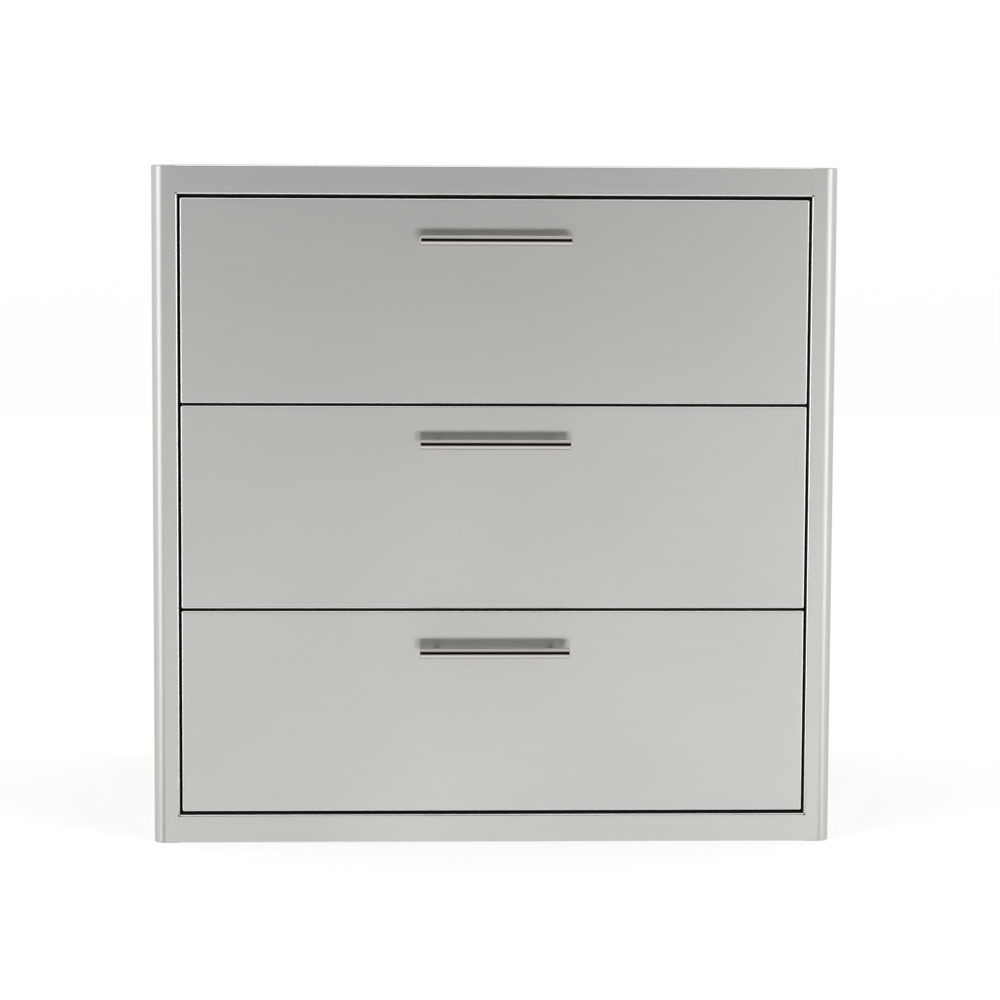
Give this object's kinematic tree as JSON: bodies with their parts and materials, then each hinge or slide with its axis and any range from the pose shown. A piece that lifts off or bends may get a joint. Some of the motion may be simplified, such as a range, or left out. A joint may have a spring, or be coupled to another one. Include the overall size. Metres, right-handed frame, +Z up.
{
  "type": "outdoor kitchen drawer unit",
  "caption": "Square stainless steel cabinet for an outdoor kitchen, with stacked inset drawers on full-extension ball slides, round bar handles and rounded front edges.",
  "frame": {"origin": "middle of the footprint, handles included, on the surface the unit stands on", "axes": "+X to the right seen from the front, +Y from the handles to the back, +Z up"},
  "size_m": [0.762, 0.6362, 0.759],
  "materials": {
    "brushed_stainless": "fine brushed",
    "mill_finish_stainless": "cold rolled, satin",
    "polished_stainless": "mirror polished",
    "slide_steel": "bright zinc plated",
    "bearing_steel": "polished balls in a plated strip",
    "fastener_steel": "plain",
    "rubber": "matt"
  },
  "bodies": {
    "cabinet": {"side_panel_left": "brushed_stainless", "side_panel_right": "brushed_stainless", "top_rail": "brushed_stainless", "bottom_rail": "brushed_stainless", "top_panel": "brushed_stainless", "base_panel": "mill_finish_stainless", "back_panel": "mill_finish_stainless", "back_panel_rivets": "fastener_steel", "cross_rails": "mill_finish_stainless", "stop_bumpers": "rubber", "front_upright_left": "mill_finish_stainless", "front_upright_right": "mill_finish_stainless", "rear_upright_left": "mill_finish_stainless", "rear_upright_right": "mill_finish_stainless", "slide_mount_screws": "fastener_steel", "bottom_slide_outer_left": "slide_steel", "bottom_slide_outer_right": "slide_steel", "middle_slide_outer_left": "slide_steel", "middle_slide_outer_right": "slide_steel", "top_slide_outer_left": "slide_steel", "top_slide_outer_right": "slide_steel"},
    "bottom_drawer": {"bottom_drawer_front": "brushed_stainless", "bottom_front_liner": "mill_finish_stainless", "bottom_drawer_tray": "mill_finish_stainless", "bottom_tray_ends": "mill_finish_stainless", "bottom_handle_bar": "polished_stainless", "bottom_handle_posts": "polished_stainless", "bottom_drawer_fasteners": "fastener_steel", "bottom_slide_inner_left": "slide_steel", "bottom_slide_inner_right": "slide_steel"},
    "bottom_middle_members": {"bottom_slide_middle_left": "slide_steel", "bottom_slide_middle_right": "slide_steel"},
    "bottom_outer_cages": {"bottom_outer_ball_cages": "bearing_steel"},
    "bottom_inner_cages": {"bottom_inner_ball_cages": "bearing_steel"},
    "middle_drawer": {"middle_drawer_front": "brushed_stainless", "middle_front_liner": "mill_finish_stainless", "middle_drawer_tray": "mill_finish_stainless", "middle_tray_ends": "mill_finish_stainless", "middle_handle_bar": "polished_stainless", "middle_handle_posts": "polished_stainless", "middle_drawer_fasteners": "fastener_steel", "middle_slide_inner_left": "slide_steel", "middle_slide_inner_right": "slide_steel"},
    "middle_middle_members": {"middle_slide_middle_left": "slide_steel", "middle_slide_middle_right": "slide_steel"},
    "middle_outer_cages": {"middle_outer_ball_cages": "bearing_steel"},
    "middle_inner_cages": {"middle_inner_ball_cages": "bearing_steel"},
    "top_drawer": {"top_drawer_front": "brushed_stainless", "top_front_liner": "mill_finish_stainless", "top_drawer_tray": "mill_finish_stainless", "top_tray_ends": "mill_finish_stainless", "top_handle_bar": "polished_stainless", "top_handle_posts": "polished_stainless", "top_drawer_fasteners": "fastener_steel", "top_slide_inner_left": "slide_steel", "top_slide_inner_right": "slide_steel"},
    "top_middle_members": {"top_slide_middle_left": "slide_steel", "top_slide_middle_right": "slide_steel"},
    "top_outer_cages": {"top_outer_ball_cages": "bearing_steel"},
    "top_inner_cages": {"top_inner_ball_cages": "bearing_steel"}
  },
  "joints": [
    {"name": "bottom_drawer_slide", "type": "slide", "parent": "cabinet", "child": "bottom_drawer", "axis": [0, -1, 0], "range_m": [0, 0.55]},
    {"name": "bottom_middle_members_slide", "type": "slide", "parent": "cabinet", "child": "bottom_middle_members", "axis": [0, -1, 0], "range_m": [0, 0.275]},
    {"name": "bottom_outer_cages_slide", "type": "slide", "parent": "cabinet", "child": "bottom_outer_cages", "axis": [0, -1, 0], "range_m": [0, 0.1375]},
    {"name": "bottom_inner_cages_slide", "type": "slide", "parent": "cabinet", "child": "bottom_inner_cages", "axis": [0, -1, 0], "range_m": [0, 0.4125]},
    {"name": "middle_drawer_slide", "type": "slide", "parent": "cabinet", "child": "middle_drawer", "axis": [0, -1, 0], "range_m": [0, 0.55]},
    {"name": "middle_middle_members_slide", "type": "slide", "parent": "cabinet", "child": "middle_middle_members", "axis": [0, -1, 0], "range_m": [0, 0.275]},
    {"name": "middle_outer_cages_slide", "type": "slide", "parent": "cabinet", "child": "middle_outer_cages", "axis": [0, -1, 0], "range_m": [0, 0.1375]},
    {"name": "middle_inner_cages_slide", "type": "slide", "parent": "cabinet", "child": "middle_inner_cages", "axis": [0, -1, 0], "range_m": [0, 0.4125]},
    {"name": "top_drawer_slide", "type": "slide", "parent": "cabinet", "child": "top_drawer", "axis": [0, -1, 0], "range_m": [0, 0.55]},
    {"name": "top_middle_members_slide", "type": "slide", "parent": "cabinet", "child": "top_middle_members", "axis": [0, -1, 0], "range_m": [0, 0.275]},
    {"name": "top_outer_cages_slide", "type": "slide", "parent": "cabinet", "child": "top_outer_cages", "axis": [0, -1, 0], "range_m": [0, 0.1375]},
    {"name": "top_inner_cages_slide", "type": "slide", "parent": "cabinet", "child": "top_inner_cages", "axis": [0, -1, 0], "range_m": [0, 0.4125]}
  ],
  "couplings": [
    {"joint": "bottom_middle_members_slide", "follows": "bottom_drawer_slide", "ratio": 0.5},
    {"joint": "bottom_outer_cages_slide", "follows": "bottom_drawer_slide", "ratio": 0.25},
    {"joint": "bottom_inner_cages_slide", "follows": "bottom_drawer_slide", "ratio": 0.75},
    {"joint": "middle_middle_members_slide", "follows": "middle_drawer_slide", "ratio": 0.5},
    {"joint": "middle_outer_cages_slide", "follows": "middle_drawer_slide", "ratio": 0.25},
    {"joint": "middle_inner_cages_slide", "follows": "middle_drawer_slide", "ratio": 0.75},
    {"joint": "top_middle_members_slide", "follows": "top_drawer_slide", "ratio": 0.5},
    {"joint": "top_outer_cages_slide", "follows": "top_drawer_slide", "ratio": 0.25},
    {"joint": "top_inner_cages_slide", "follows": "top_drawer_slide", "ratio": 0.75}
  ]
}
